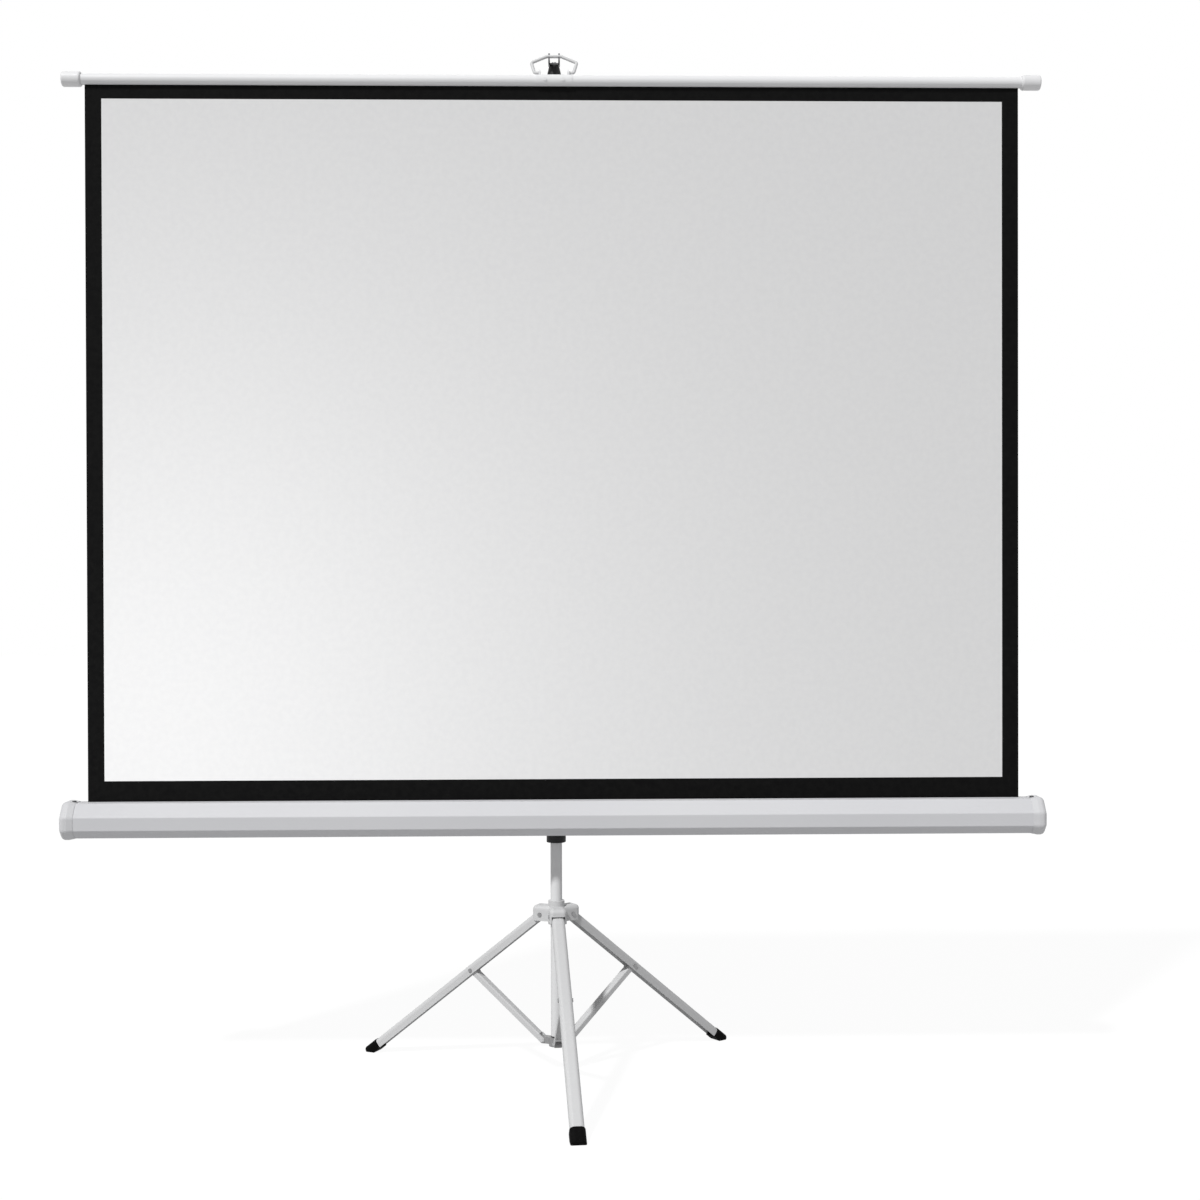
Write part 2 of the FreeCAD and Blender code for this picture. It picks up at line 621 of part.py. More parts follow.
def make_pole():
    plug_top = bar_z + POLE_PLUG_RISE
    plug_low = plug_top - POLE_PLUG_HEIGHT
    pole_top = plug_low + POLE_PLUG_SOCKET
    pole_low = pole_top - POLE_LENGTH
    nodes["pole_tube"] = tube_z(pole_r, pole_r - POLE_WALL, pole_low, pole_top)
    nodes["pole_guide"] = end_guide(mast_bore - SLIDE_GAP, pole_r - POLE_WALL - FIT_GAP, POLE_GUIDE_BORE / 2,
                                    pole_low)
    plug = Part.makeCone(POLE_PLUG_BASE / 2, POLE_PLUG_TOP / 2, POLE_PLUG_HEIGHT, V(0, 0, plug_low))
    top_edge = [e for e in plug.Edges if e.BoundBox.ZMin > plug_top - TINY]
    plug = plug.makeFillet(POLE_PLUG_ROUND, top_edge)
    plug = plug.cut(Part.makeCylinder(pole_r + FIT_GAP, POLE_PLUG_SOCKET, V(0, 0, plug_low)))
    web_top = plug_top + HOOK_SHEET
    screw_tip = web_top - HOOK_SCREW_LENGTH
    plug = plug.cut(Part.makeCylinder(HOOK_SCREW_SIZE / 2 + FIT_GAP, HOOK_SCREW_LENGTH, V(0, 0, screw_tip)))
    nodes["pole_plug"] = plug
    head = Part.makeCylinder(HOOK_SCREW_HEAD / 2, HOOK_SCREW_HEAD_HEIGHT, V(0, 0, web_top))
    head = head.makeFillet(HEAD_ROUND, head.Edges)
    shank = Part.makeCylinder(HOOK_SCREW_SIZE / 2, HOOK_SCREW_LENGTH + PAST, V(0, 0, screw_tip))
    nodes["hook_screw"] = head.fuse(shank).removeSplitter()
    nodes["hook_bracket"] = make_hook(plug_top)


def bail_axis_z():
    return bar_z + bar_r + SADDLE_WALL + BAIL_WIRE / 2 + REST_GAP


def make_hook(base_z):
    # folded sheet: a base on the plug and two cheeks with a seat for the bail's top wire
    pivot = V(0, fabric_y, bail_axis_z())
    lean = math.radians(BAIL_LEAN)
    wire = pivot + V(0, BAIL_HEIGHT * math.sin(lean), BAIL_HEIGHT * math.cos(lean))
    seat_r = BAIL_WIRE / 2 + REST_GAP
    swing_r = BAIL_HEIGHT - seat_r
    down = (pivot - wire).normalize()
    seat = wire + down * seat_r
    tip_y = wire.y - HOOK_TIP_REACH
    tip = V(0, tip_y, pivot.z + math.sqrt(swing_r ** 2 - (tip_y - fabric_y) ** 2))
    seat_turn = (lean + math.asin((tip_y - fabric_y) / swing_r)) / 2
    seat_middle = pivot + V(0, swing_r * math.sin(seat_turn), swing_r * math.cos(seat_turn))
    behind = wire + V(0, seat_r, 0)
    hollow = wire + (down + AXIS_Y).normalize() * seat_r
    guard_z = wire.z + HOOK_GUARD_RISE
    base_rear = V(0, HOOK_BASE_HALF, base_z)
    base_front = V(0, -HOOK_BASE_HALF, base_z)
    tip_low = V(0, tip_y, tip.z - HOOK_TIP_DEPTH)
    guard_rear = V(0, HOOK_BASE_HALF / 2, guard_z)
    guard_front = V(0, behind.y + HOOK_GUARD_RISE, guard_z)
    edges = [
        Part.LineSegment(base_front, base_rear).toShape(),
        Part.LineSegment(base_rear, guard_rear).toShape(),
        Part.LineSegment(guard_rear, guard_front).toShape(),
        Part.LineSegment(guard_front, behind).toShape(),
        Part.Arc(behind, hollow, seat).toShape(),
        Part.Arc(seat, seat_middle, tip).toShape(),
        Part.LineSegment(tip, tip_low).toShape(),
        Part.LineSegment(tip_low, base_front).toShape(),
    ]
    cheek = Part.Face(Part.Wire(edges)).extrude(V(HOOK_SHEET, 0, 0))
    half = HOOK_WIDTH / 2
    left = cheek.copy()
    left.translate(V(-half, 0, 0))
    right = cheek.copy()
    right.translate(V(half - HOOK_SHEET, 0, 0))
    base = block(-half, half, -HOOK_BASE_HALF, HOOK_BASE_HALF, base_z, base_z + HOOK_SHEET)
    hook = base.fuse(left).fuse(right).removeSplitter()
    hole = Part.makeCylinder(HOOK_SCREW_SIZE / 2 + FIT_GAP, HOOK_SHEET, V(0, 0, base_z))
    return hook.cut(hole)


# Case
def case_outline():
    crease_z = case_top_z - CASE_UPPER_FACET
    bevel_z = CASE_BOTTOM_Z + CASE_LOWER_BEVEL
    return [
        (case_front_y, crease_z),
        (case_front_y, bevel_z),
        (case_front_y + CASE_LOWER_BEVEL, CASE_BOTTOM_Z),
        (case_back_y - CASE_REAR_BEVEL, CASE_BOTTOM_Z),
        (case_back_y, CASE_BOTTOM_Z + CASE_REAR_BEVEL),
        (case_back_y, case_top_z - CASE_REAR_BEVEL),
        (case_back_y - CASE_REAR_BEVEL, case_top_z),
        (case_front_y + CASE_UPPER_SETBACK, case_top_z),
    ]


def bent_prism(amount, bend, start, end):
    prism = prism_x(grown(case_outline(), amount), start, end)
    return prism.makeFillet(bend, edges_along(prism, AXIS_X))


def rounded_rim(amount, bend, x):
    # the outline at one end of such a prism
    prism = bent_prism(amount, bend, x, x + CAP_WIDTH)
    return [face for face in prism.Faces if abs(face.CenterOfMass.x - x) < TINY][0].OuterWire


def swivel_screw_places():
    half_x = PLATE_WIDTH / 2 - PLATE_SCREW_INSET_X
    half_z = PLATE_HEIGHT / 2 - PLATE_SCREW_INSET_Z
    return [(sx * half_x, case_mid_z + sz * half_z) for sx in (-1, 1) for sz in (-1, 1)]


def make_case():
    half = CASE_LENGTH / 2
    cap_face = half - CAP_WIDTH
    shell_half = cap_face + CAP_LAP
    shell = bent_prism(0, CASE_BEND, -shell_half, shell_half)
    shell = shell.cut(bent_prism(-CASE_WALL, CASE_BEND - CASE_WALL, -shell_half - PAST, shell_half + PAST))
    slot_half = SLOT_WIDTH / 2
    shell = shell.cut(block(-shell_half, shell_half, fabric_y - slot_half, fabric_y + slot_half,
                            case_top_z - 2 * CASE_WALL, case_top_z + PAST))
    wall_in = case_back_y - 2 * CASE_WALL
    shell = shell.cut(rod_y(SWIVEL_BOLT_SIZE / 2 + FIT_GAP, wall_in, case_back_y, 0, case_mid_z))
    for x, z in swivel_screw_places():
        shell = shell.cut(rod_y(PLATE_SCREW_SIZE / 2 + FIT_GAP, wall_in, case_back_y, x, z))

    # each cap is domed outside and tapers down to the shell inside
    taper_end = cap_face + CAP_TAPER
    lip_round = CAP_ROUND - CAP_GROW + CAP_EDGE
    rims = [rounded_rim(CAP_EDGE, lip_round, cap_face), rounded_rim(CAP_GROW, CAP_ROUND, taper_end)]
    cap = bent_prism(CAP_GROW, CAP_ROUND, taper_end, half)
    outer_edges = [e for e in cap.Edges if all(abs(vertex.X - half) < TINY for vertex in e.Vertexes)]
    cap = cap.makeFillet(CAP_DOME, outer_edges)
    cap = cap.fuse(Part.makeLoft(rims, True, True)).removeSplitter()
    recess_end = shell_half + REST_GAP
    cap = cap.cut(bent_prism(FIT_GAP, CASE_BEND, cap_face - PAST, recess_end))
    screw_x = cap_face + CAP_LAP / 2
    screw_y = (case_front_y + CASE_UPPER_SETBACK + fabric_y - slot_half) / 2
    head_z = case_top_z + CAP_EDGE
    screw_low = head_z - CAP_SCREW_LENGTH
    seat_r = CAP_SCREW_HEAD / 2 + SIDE_GAP
    cap = cap.cut(Part.makeCylinder(seat_r, CAP_GROW + PAST, V(screw_x, screw_y, head_z)))
    hole = Part.makeCylinder(CAP_SCREW_SIZE / 2 + FIT_GAP, CAP_SCREW_LENGTH, V(screw_x, screw_y, screw_low))
    cap = cap.cut(hole)
    left_cap = cap.mirror(ORIGIN, AXIS_X)
    pin_bore = rod_x(IDLE_PIN_SIZE / 2 + RUN_GAP, -recess_end - BEARING_DEPTH, -recess_end + PAST,
                     roller_y, roller_z)
    arbor_bore = rod_x(ARBOR_SIZE / 2 + FIT_GAP, recess_end - PAST, recess_end + BEARING_DEPTH,
                       roller_y, roller_z)
    nodes["end_cap_left"] = left_cap.cut(pin_bore)
    nodes["end_cap_right"] = cap.cut(arbor_bore)
    nodes["case_shell"] = shell.cut(hole).cut(hole.mirror(ORIGIN, AXIS_X))

    screw = Part.makeCylinder(CAP_SCREW_HEAD / 2, CAP_SCREW_HEAD_HEIGHT, V(screw_x, screw_y, head_z))
    screw = screw.makeFillet(HEAD_ROUND, [screw.Edges[0]])
    shank = Part.makeCylinder(CAP_SCREW_SIZE / 2, CAP_SCREW_LENGTH + PAST, V(screw_x, screw_y, screw_low))
    screw = screw.fuse(shank).removeSplitter()
    nodes["end_cap_screws"] = Part.makeCompound([screw, screw.mirror(ORIGIN, AXIS_X)])
    return recess_end


def make_roller(recess_end):
    half = recess_end - ROLLER_END_GAP
    bore = roller_r - ROLLER_WALL
    plug_r = bore - FIT_GAP
    nodes["roller_tube"] = tube_x(roller_r, bore, -half, half, roller_y, roller_z)
    nodes["fabric_wrap"] = tube_x(wrap_r, roller_r + FIT_GAP, -fabric_width / 2, fabric_width / 2,
                                  roller_y, roller_z)
    pin_start = -recess_end - BEARING_DEPTH + REST_GAP
    pin_end = -half + IDLE_PIN_IN_PLUG
    nodes["idle_plug"] = rod_x(plug_r, -half, -half + PLUG_LENGTH, roller_y, roller_z).cut(
        rod_x(IDLE_PIN_SIZE / 2 + FIT_GAP, -half, pin_end, roller_y, roller_z))
    nodes["idle_pin"] = rod_x(IDLE_PIN_SIZE / 2, pin_start, pin_end, roller_y, roller_z)
    arbor_r = ARBOR_SIZE / 2
    arbor_end = recess_end + BEARING_DEPTH - REST_GAP
    arbor_start = arbor_end - ARBOR_LENGTH
    nodes["spring_plug"] = tube_x(plug_r, arbor_r + RUN_GAP, half - PLUG_LENGTH, half, roller_y, roller_z)
    anchor_start = arbor_start - SPRING_END_GAP
    nodes["spring_anchor"] = tube_x(plug_r, arbor_r + RUN_GAP, anchor_start, anchor_start + ANCHOR_LENGTH,
                                    roller_y, roller_z)
    nodes["spring_arbor"] = rod_x(arbor_r, arbor_start, arbor_end, roller_y, roller_z)
    spring_r = arbor_r + SIDE_GAP
    spring_start = anchor_start + ANCHOR_LENGTH + SPRING_END_GAP
    spring_end = half - PLUG_LENGTH - SPRING_END_GAP
    nodes["roller_spring"] = tube_x(spring_r + SPRING_WIRE, spring_r, spring_start, spring_end,
                                    roller_y, roller_z)


# Case carrier on the mast
def make_carrier():
    plate_rear = case_back_y + PLATE_THICK
    plate = block(-PLATE_WIDTH / 2, PLATE_WIDTH / 2, case_back_y, plate_rear,
                  case_mid_z - PLATE_HEIGHT / 2, case_mid_z + PLATE_HEIGHT / 2)
    plate = plate.makeFillet(PLATE_CORNER, edges_along(plate, AXIS_Y))
    plate = plate.cut(rod_y(SWIVEL_BOLT_SIZE / 2 + FIT_GAP, case_back_y, plate_rear, 0, case_mid_z))
    screws = []
    inner_back = case_back_y - CASE_WALL
    for x, z in swivel_screw_places():
        plate = plate.cut(rod_y(PLATE_SCREW_SIZE / 2 + FIT_GAP, case_back_y, plate_rear, x, z))
        screw = rod_y(PLATE_SCREW_SIZE / 2, inner_back - PLATE_SCREW_REACH, plate_rear + PAST, x, z)
        head = rod_y(PLATE_SCREW_HEAD / 2, plate_rear, plate_rear + PLATE_SCREW_HEAD_HEIGHT, x, z)
        screws.append(screw.fuse(head.makeFillet(HEAD_ROUND, [head.Edges[0]])).removeSplitter())
    nodes["swivel_plate"] = plate
    nodes["plate_screws"] = Part.makeCompound(screws)

    washer_rear = plate_rear + SWIVEL_WASHER_THICK
    nodes["swivel_washer"] = rod_y(SWIVEL_WASHER_SIZE / 2, plate_rear, washer_rear, 0, case_mid_z).cut(
        rod_y(SWIVEL_BOLT_SIZE / 2 + FIT_GAP, plate_rear, washer_rear, 0, case_mid_z))

    clamp_low = case_mid_z - CLAMP_HEIGHT / 2
    clamp_high = case_mid_z + CLAMP_HEIGHT / 2
    half = CLAMP_WIDTH / 2
    rear = mast_r + CLAMP_REAR_WALL
    clamp = block(-half, half, washer_rear, rear, clamp_low, clamp_high)
    clamp = clamp.makeFillet(CLAMP_ROUND, edges_along(clamp, AXIS_Z))
    ear_half = CLAMP_EAR_WIDTH / 2
    ear_end = rear + CLAMP_EAR_LENGTH
    clamp = clamp.fuse(block(-ear_half, ear_half, mast_r, ear_end, clamp_low, clamp_high)).removeSplitter()
    clamp = clamp.cut(Part.makeCylinder(mast_r + FIT_GAP, CLAMP_HEIGHT, V(0, 0, clamp_low)))
    clamp = clamp.cut(block(-CLAMP_SLIT / 2, CLAMP_SLIT / 2, 0, ear_end, clamp_low, clamp_high))
    bolt_end = -mast_r - SWIVEL_BOLT_END_GAP
    clamp = clamp.cut(rod_y(SWIVEL_BOLT_SIZE / 2 + FIT_GAP, washer_rear, -mast_r, 0, case_mid_z))
    pinch = []
    screw_y = rear + CLAMP_EAR_LENGTH / 2
    for side in (-1, 1):
        z = case_mid_z + side * CLAMP_SCREW_SPACING / 2
        clamp = clamp.cut(rod_x(CLAMP_SCREW_SIZE / 2 + FIT_GAP, -half, half, screw_y, z))
        screw = rod_x(CLAMP_SCREW_SIZE / 2, -ear_half, ear_half + PAST, screw_y, z)
        head = rod_x(CLAMP_SCREW_HEAD / 2, ear_half, ear_half + CLAMP_SCREW_HEAD_HEIGHT, screw_y, z)
        pinch.append(screw.fuse(head).removeSplitter())
    nodes["mast_clamp"] = clamp
    nodes["clamp_screws"] = Part.makeCompound(pinch)

    head = rod_y(SWIVEL_BOLT_HEAD / 2, inner_back - SWIVEL_BOLT_HEAD_HEIGHT, inner_back, 0, case_mid_z)
    shank = rod_y(SWIVEL_BOLT_SIZE / 2, inner_back - PAST, bolt_end, 0, case_mid_z)
    nodes["swivel_bolt"] = head.fuse(shank).removeSplitter()


# Screen and top bar
def make_screen():
    half = fabric_width / 2
    bar_bore = bar_r - BAR_WALL
    spline_r = SPLINE_SIZE / 2
    spline_z = bar_z - bar_bore + spline_r + FIT_GAP
    fabric_half = FABRIC_THICK / 2
    nodes["screen_fabric"] = block(-half, half, fabric_y - fabric_half, fabric_y + fabric_half,
                                   roller_z, spline_z)
    bar_half = half + BAR_PAST_CLOTH
    spline_half = bar_half - BAR_CAP_LENGTH - SPLINE_END_GAP
    spline = rod_x(spline_r, -spline_half, spline_half, fabric_y, spline_z)
    slit_half = SPLINE_SLIT / 2
    slit = block(-spline_half, spline_half, fabric_y - slit_half, fabric_y + slit_half,
                 spline_z - SPLINE_SIZE, spline_z + REST_GAP)
    nodes["bar_spline"] = spline.cut(slit)

    tube_half = bar_half - BAR_CAP_END - REST_GAP
    bar = tube_x(bar_r, bar_bore, -tube_half, tube_half, fabric_y, bar_z)
    nodes["top_bar"] = bar.cut(block(-tube_half, tube_half, fabric_y - BAR_SLOT / 2, fabric_y + BAR_SLOT / 2,
                                     bar_z - BAR_SIZE, bar_z - bar_bore / 2))
    cap = rod_x(BAR_CAP_SIZE / 2, bar_half - BAR_CAP_LENGTH, bar_half, fabric_y, bar_z)
    cap = cap.makeFillet(BAR_CAP_ROUND, cap.Edges)
    cap = cap.cut(rod_x(bar_r + FIT_GAP, bar_half - BAR_CAP_LENGTH, bar_half - BAR_CAP_END, fabric_y, bar_z))
    nodes["bar_cap_right"] = cap
    nodes["bar_cap_left"] = cap.mirror(ORIGIN, AXIS_X)


def make_bail():
    axis_z = bail_axis_z()
    saddle_half = SADDLE_LENGTH / 2
    saddle_r = bar_r + FIT_GAP + SADDLE_WALL
    saddle = rod_x(saddle_r, -saddle_half, saddle_half, fabric_y, bar_z)
    saddle = saddle.cut(block(-saddle_half, saddle_half, fabric_y - 2 * saddle_r, fabric_y + 2 * saddle_r,
                              bar_z - 2 * saddle_r, bar_z - SADDLE_WRAP))
    eye_r = BAIL_WIRE / 2 + EYE_MARGIN
    eye_end = BAIL_FOOT_HALF - BAIL_WIRE - BAIL_BEND / 2
    bores = []
    for side in (-1, 1):
        start = eye_end - EYE_THICK if side > 0 else -eye_end
        saddle = saddle.fuse(rod_x(eye_r, start, start + EYE_THICK, fabric_y, axis_z))
        stalk = block(start, start + EYE_THICK, fabric_y - eye_r, fabric_y + eye_r, bar_z, axis_z)
        saddle = saddle.fuse(stalk)
        bores.append(rod_x(BAIL_WIRE / 2 + RUN_GAP, start, start + EYE_THICK, fabric_y, axis_z))
    saddle = saddle.removeSplitter()
    saddle = saddle.cut(rod_x(bar_r + FIT_GAP, -saddle_half, saddle_half, fabric_y, bar_z))
    for bore in bores:
        saddle = saddle.cut(bore)

    rivets = []
    wall = rod_x(saddle_r, -saddle_half, saddle_half, fabric_y, bar_z)
    front = fabric_y - saddle_r
    for side in (-1, 1):
        x = side * SADDLE_RIVET_HALF_SPAN
        head_face = front - SADDLE_RIVET_HEAD_HEIGHT
        shank = rod_y(SADDLE_RIVET_SIZE / 2, head_face, fabric_y - bar_r + BAR_WALL + PAST, x, bar_z)
        head = rod_y(SADDLE_RIVET_HEAD / 2, head_face, front + SADDLE_WALL, x, bar_z).cut(wall)
        rivets.append(head.fuse(shank).removeSplitter())
        hole = rod_y(SADDLE_RIVET_SIZE / 2 + FIT_GAP, head_face, fabric_y, x, bar_z)
        saddle = saddle.cut(hole)
        nodes["top_bar"] = nodes["top_bar"].cut(hole)
    nodes["bail_bracket"] = saddle
    nodes["bracket_rivets"] = Part.makeCompound(rivets)

    half_route = [
        (BAIL_FOOT_HALF - BAIL_PIN_INSET, 0),
        (BAIL_FOOT_HALF, 0),
        (BAIL_SHOULDER_HALF, BAIL_SHOULDER_HEIGHT),
        (BAIL_TOP_HALF, BAIL_HEIGHT),
    ]
    route = [V(-x, 0, z) for x, z in half_route]
    route += [V(x, 0, z) for x, z in reversed(half_route)]
    path = round_path(route, BAIL_BEND)
    section = Part.Wire(Part.makeCircle(BAIL_WIRE / 2, route[0], AXIS_X))
    bail = path.makePipeShell([section], True, False)
    bail.rotate(ORIGIN, AXIS_X, -BAIL_LEAN)
    bail.translate(V(0, fabric_y, axis_z))
    nodes["bail"] = bail


make_column()
make_legs()
make_hub()
make_collar()
make_mast()
make_pole()
make_roller(make_case())
make_carrier()
make_screen()
make_bail()

# The stand is centred over the rectangle that its feet cover
feet = FreeCAD.BoundBox()
for name in LEG_AZIMUTHS:
    feet.add(nodes["foot_" + name].optimalBoundingBox(False))
stand_shift = V(0, -feet.Center.y, 0)

os.makedirs("parts", exist_ok=True)
for name, shape in nodes.items():
    shape.translate(stand_shift)
    shape.exportStep("parts/" + name + ".step")
print(len(nodes), "nodes, shifted", round(stand_shift.y, 3))
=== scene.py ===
import math
import bpy
from mathutils import Matrix, Vector


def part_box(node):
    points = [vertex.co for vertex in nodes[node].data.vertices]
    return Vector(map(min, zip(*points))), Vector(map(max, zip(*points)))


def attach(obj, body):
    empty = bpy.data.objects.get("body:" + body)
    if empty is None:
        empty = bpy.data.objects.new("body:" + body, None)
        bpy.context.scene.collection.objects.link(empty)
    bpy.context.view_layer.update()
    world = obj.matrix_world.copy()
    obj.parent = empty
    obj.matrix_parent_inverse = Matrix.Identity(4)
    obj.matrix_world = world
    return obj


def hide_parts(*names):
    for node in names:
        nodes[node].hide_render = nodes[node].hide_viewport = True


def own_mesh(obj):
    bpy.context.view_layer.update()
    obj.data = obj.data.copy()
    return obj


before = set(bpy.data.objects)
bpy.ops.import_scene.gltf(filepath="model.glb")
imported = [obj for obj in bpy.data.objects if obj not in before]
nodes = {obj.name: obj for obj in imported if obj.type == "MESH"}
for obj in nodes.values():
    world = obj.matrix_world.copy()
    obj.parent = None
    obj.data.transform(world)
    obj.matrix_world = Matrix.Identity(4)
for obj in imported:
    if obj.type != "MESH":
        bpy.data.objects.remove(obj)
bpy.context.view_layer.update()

# Places taken from the CAD frame, in metres
cloth_low, cloth_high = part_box("screen_fabric")
spring_low, spring_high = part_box("release_spring")
winding_low, winding_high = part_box("roller_spring")
wrap_low, wrap_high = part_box("fabric_wrap")
roller_low, roller_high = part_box("roller_tube")

# Screen cloth, lengths in metres
WHITE_HALF_WIDTH = 0.850
WHITE_BOTTOM = 0.570
WHITE_TOP = 1.853
WHITE_ROWS = 13
STRIP_WIDTH = 0.106
STRIPS_EACH_SIDE = 7
WHITE_FACE, BLACK_EDGE, BLACK_BACK = 0, 1, 2
FACING = 0.5  # a face whose normal passes this faces the front or the back

# Turns of cloth on the roller, heights and thickness as shares of the pitch
CLOTH_LAYERS = 2
STEPS_PER_LAYER = 60
STRIPS_ALONG_ROLLER = 12
FIRST_LAYER_HEIGHT = 0.6
LAYER_THICKNESS = 0.8

# Wire springs, lengths in metres
RELEASE_WIRE_RADIUS = 0.0005
RELEASE_WIRE_INSET = 0.0012
RELEASE_TURNS = 4
ROLLER_WIRE_RADIUS = 0.0009
ROLLER_WIRE_PITCH = 0.0024

# Modelling
QUARTER_TURN = math.radians(90)
MERGE_DISTANCE = 1e-6
CLOTH_SMOOTHING = math.radians(40)
WIRE_SMOOTHING = math.radians(50)

# Camera, place in metres, lens and sensor in millimetres, angles in degrees
CAMERA_SIDE = 0.01595
CAMERA_REACH = 3.16792
CAMERA_HEIGHT = 0.93366
CAMERA_YAW = -1.236
CAMERA_PITCH = -0.447
CAMERA_ROLL = 0.145
LENS = 50.19
SENSOR_WIDTH = 36.0

# Studio, lengths in metres
FLOOR_SIZE = 40.0
FLOOR_GREY = (0.6, 0.6, 0.6, 1)
FLOOR_GLOW = 1.08
FLOOR_GLOW_SHARE = 0.88
AMBIENT_GREY = (0.28, 0.28, 0.284, 1)
BACKGROUND_WHITE = (1, 1, 1, 1)
KEY_STRENGTH = 2.67
KEY_SPREAD = math.radians(4)
KEY_FROM = (-0.3725, -0.532, 0.7604)
LOW_LAMP_POWER = 6.6
LOW_LAMP_SIZE = 0.8
LOW_LAMP_SIDE = -0.85
LOW_LAMP_REACH = 1.14
LOW_LAMP_HEIGHT = 0.66
LOW_LAMP_FROM = (0, -1, 0)


# Node helpers
def add_node(tree, kind, **values):
    node = tree.nodes.new(kind)
    for key, value in values.items():
        setattr(node, key, value)
    return node


def new_finish(name, gloss=0.5):
    finish = bpy.data.materials.new(name)
    finish.use_nodes = True
    tree = finish.node_tree
    shader = tree.nodes["Principled BSDF"]
    shader.inputs["Specular IOR Level"].default_value = gloss
    return finish, tree, shader


def object_noise(tree, scale, detail=2.0, stretch=None):
    place = add_node(tree, "ShaderNodeTexCoord")
    noise = add_node(tree, "ShaderNodeTexNoise")
    noise.inputs["Scale"].default_value = scale
    noise.inputs["Detail"].default_value = detail
    if stretch is None:
        tree.links.new(place.outputs["Object"], noise.inputs["Vector"])
    else:
        mapping = add_node(tree, "ShaderNodeMapping")
        mapping.inputs["Scale"].default_value = stretch
        tree.links.new(place.outputs["Object"], mapping.inputs["Vector"])
        tree.links.new(mapping.outputs["Vector"], noise.inputs["Vector"])
    return noise


def tint_by(tree, shader, noise, dark, light, dark_below=0.35, light_above=0.65):
    ramp = add_node(tree, "ShaderNodeValToRGB")
    ramp.color_ramp.elements[0].position = dark_below
    ramp.color_ramp.elements[0].color = (*dark, 1)
    ramp.color_ramp.elements[1].position = light_above
    ramp.color_ramp.elements[1].color = (*light, 1)
    tree.links.new(noise.outputs["Fac"], ramp.inputs["Fac"])
    tree.links.new(ramp.outputs["Color"], shader.inputs["Base Color"])


def roughen_by(tree, shader, noise, smooth, rough, smooth_at=0.3, rough_at=0.7):
    spread = add_node(tree, "ShaderNodeMapRange")
    spread.inputs["From Min"].default_value = smooth_at
    spread.inputs["From Max"].default_value = rough_at
    spread.inputs["To Min"].default_value = smooth
    spread.inputs["To Max"].default_value = rough
    tree.links.new(noise.outputs["Fac"], spread.inputs["Value"])
    tree.links.new(spread.outputs["Result"], shader.inputs["Roughness"])


def emboss_by(tree, shader, height, depth, strength):
    bump = add_node(tree, "ShaderNodeBump")
    bump.inputs["Distance"].default_value = depth
    bump.inputs["Strength"].default_value = strength
    tree.links.new(height, bump.inputs["Height"])
    tree.links.new(bump.outputs["Normal"], shader.inputs["Normal"])


# Kinds of finish
def enamel(name, dark, light, smooth, rough, gloss=0.25):
    finish, tree, shader = new_finish(name, gloss)
    tint_by(tree, shader, object_noise(tree, scale=2.5), dark, light)
    roughen_by(tree, shader, object_noise(tree, scale=60.0, detail=3.0), smooth, rough)
    orange_peel = object_noise(tree, scale=700.0)
    emboss_by(tree, shader, orange_peel.outputs["Fac"], depth=0.0002, strength=0.12)
    return finish


def moulding(name, dark, light, smooth, rough, grain, gloss):
    finish, tree, shader = new_finish(name, gloss)
    tint_by(tree, shader, object_noise(tree, scale=35.0, detail=4.0), dark, light)
    roughen_by(tree, shader, object_noise(tree, scale=120.0, detail=3.0), smooth, rough)
    mould_grain = object_noise(tree, scale=grain, detail=3.0)
    emboss_by(tree, shader, mould_grain.outputs["Fac"], depth=0.0003, strength=0.25)
    return finish


def drawn_steel(name, dark, light, stretch):
    finish, tree, shader = new_finish(name)
    shader.inputs["Metallic"].default_value = 1.0
    streaks = object_noise(tree, scale=400.0, detail=3.0, stretch=stretch)
    tint_by(tree, shader, streaks, dark, light)
    wear = object_noise(tree, scale=900.0, detail=4.0, stretch=stretch)
    roughen_by(tree, shader, wear, smooth=0.34, rough=0.5)
    draw_lines = object_noise(tree, scale=900.0, detail=2.0, stretch=stretch)
    emboss_by(tree, shader, draw_lines.outputs["Fac"], depth=0.0001, strength=0.1)
    return finish


def screen_vinyl(name, dark, light, smooth, rough, gloss):
    finish, tree, shader = new_finish(name, gloss)
    tint_by(tree, shader, object_noise(tree, scale=90.0, detail=5.0), dark, light)
    roughen_by(tree, shader, object_noise(tree, scale=300.0, detail=3.0), smooth, rough)
    place = add_node(tree, "ShaderNodeTexCoord")
    beads = add_node(tree, "ShaderNodeTexVoronoi")
    beads.inputs["Scale"].default_value = 900.0
    tree.links.new(place.outputs["Object"], beads.inputs["Vector"])
    emboss_by(tree, shader, beads.outputs["Distance"], depth=0.0002, strength=0.2)
    return finish


# Finishes of this screen
case_enamel = enamel("case_enamel", dark=(0.595, 0.597, 0.615), light=(0.615, 0.617, 0.632),
                     smooth=0.5, rough=0.6)
bar_enamel = enamel("bar_enamel", dark=(0.80, 0.802, 0.81), light=(0.825, 0.827, 0.832),
                    smooth=0.42, rough=0.52)
wire_enamel = enamel("wire_enamel", dark=(0.655, 0.657, 0.66), light=(0.685, 0.687, 0.69),
                     smooth=0.5, rough=0.6)
tube_enamel = enamel("tube_enamel", dark=(0.72, 0.722, 0.727), light=(0.745, 0.747, 0.752),
                     smooth=0.5, rough=0.62, gloss=0.05)
leg_enamel = enamel("leg_enamel", dark=(0.575, 0.577, 0.58), light=(0.605, 0.607, 0.61),
                    smooth=0.4, rough=0.52)
cap_plastic = moulding("cap_plastic", dark=(0.585, 0.587, 0.60), light=(0.61, 0.612, 0.625),
                       smooth=0.44, rough=0.54, grain=1300.0, gloss=0.3)
